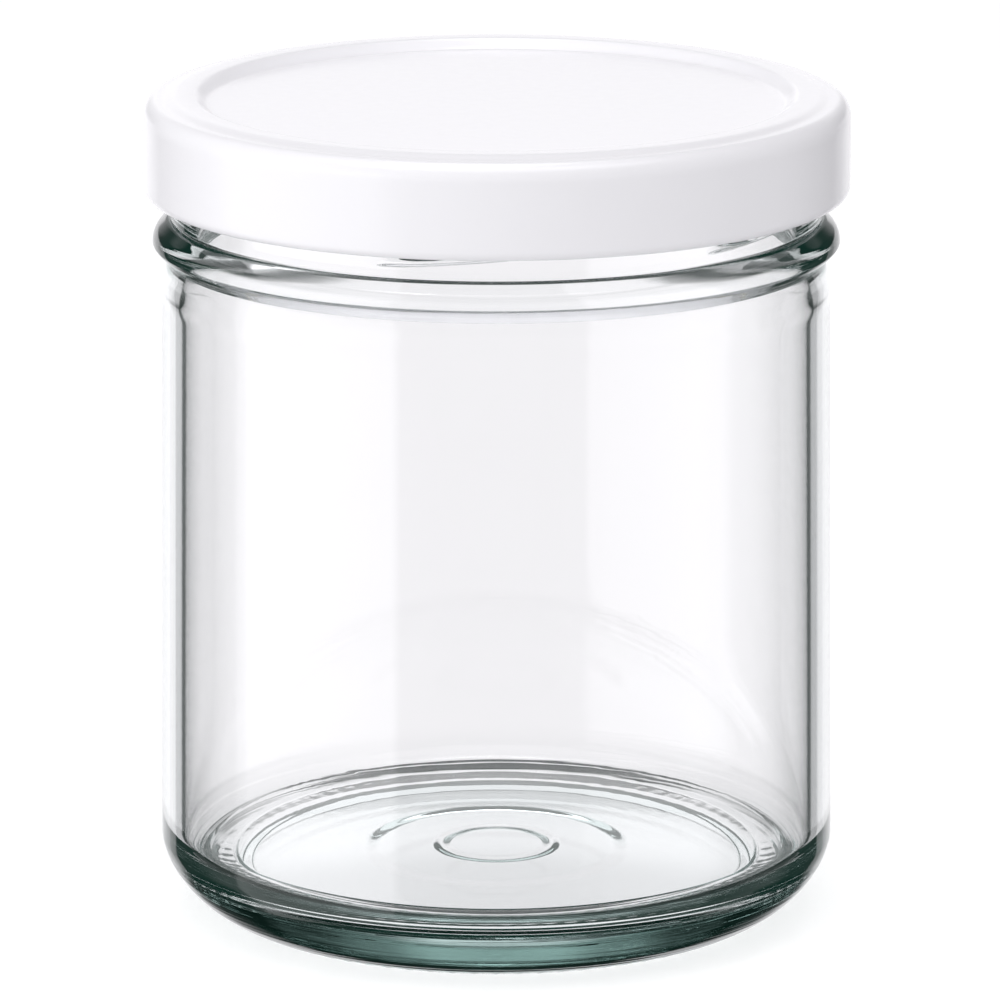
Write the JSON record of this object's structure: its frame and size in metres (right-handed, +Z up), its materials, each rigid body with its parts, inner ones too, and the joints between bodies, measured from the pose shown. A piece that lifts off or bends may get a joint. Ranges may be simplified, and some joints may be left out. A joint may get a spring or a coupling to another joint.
{
  "type": "preserving jar",
  "caption": "Straight-sided clear glass preserving jar with a heavy base, a rounded bead below the neck and a white twist-off metal lid with a soft sealing ring.",
  "frame": {"origin": "centre of the ring that the jar stands on, on the surface under it", "axes": "+Z up along the jar's axis, -Y towards the viewer of the picture, +X to the viewer's right"},
  "size_m": [0.0852, 0.0852, 0.101],
  "materials": {
    "clear_glass": "fire-polished soda-lime glass, faintly green where it is thick",
    "white_lacquer": "satin-gloss white lacquer on tinplate",
    "soft_compound": "matt off-white compound"
  },
  "bodies": {
    "jar": {"glass_jar": "clear_glass"},
    "seal": {"sealing_ring": "soft_compound"},
    "lid": {"lid_shell": "white_lacquer"}
  },
  "joints": [
    {"name": "lid_lift", "type": "slide", "parent": "jar", "child": "seal", "axis": [0, 0, 1], "range_m": [0, 0.021]},
    {"name": "lid_twist", "type": "hinge", "parent": "seal", "child": "lid", "pos_m": [0, 0, 0.0891], "axis": [0, 0, 1], "range_deg": [0, 360]}
  ],
  "couplings": [
    {"joint": "lid_lift", "follows": "lid_twist", "m_per_rad": 0.0033423}
  ]
}
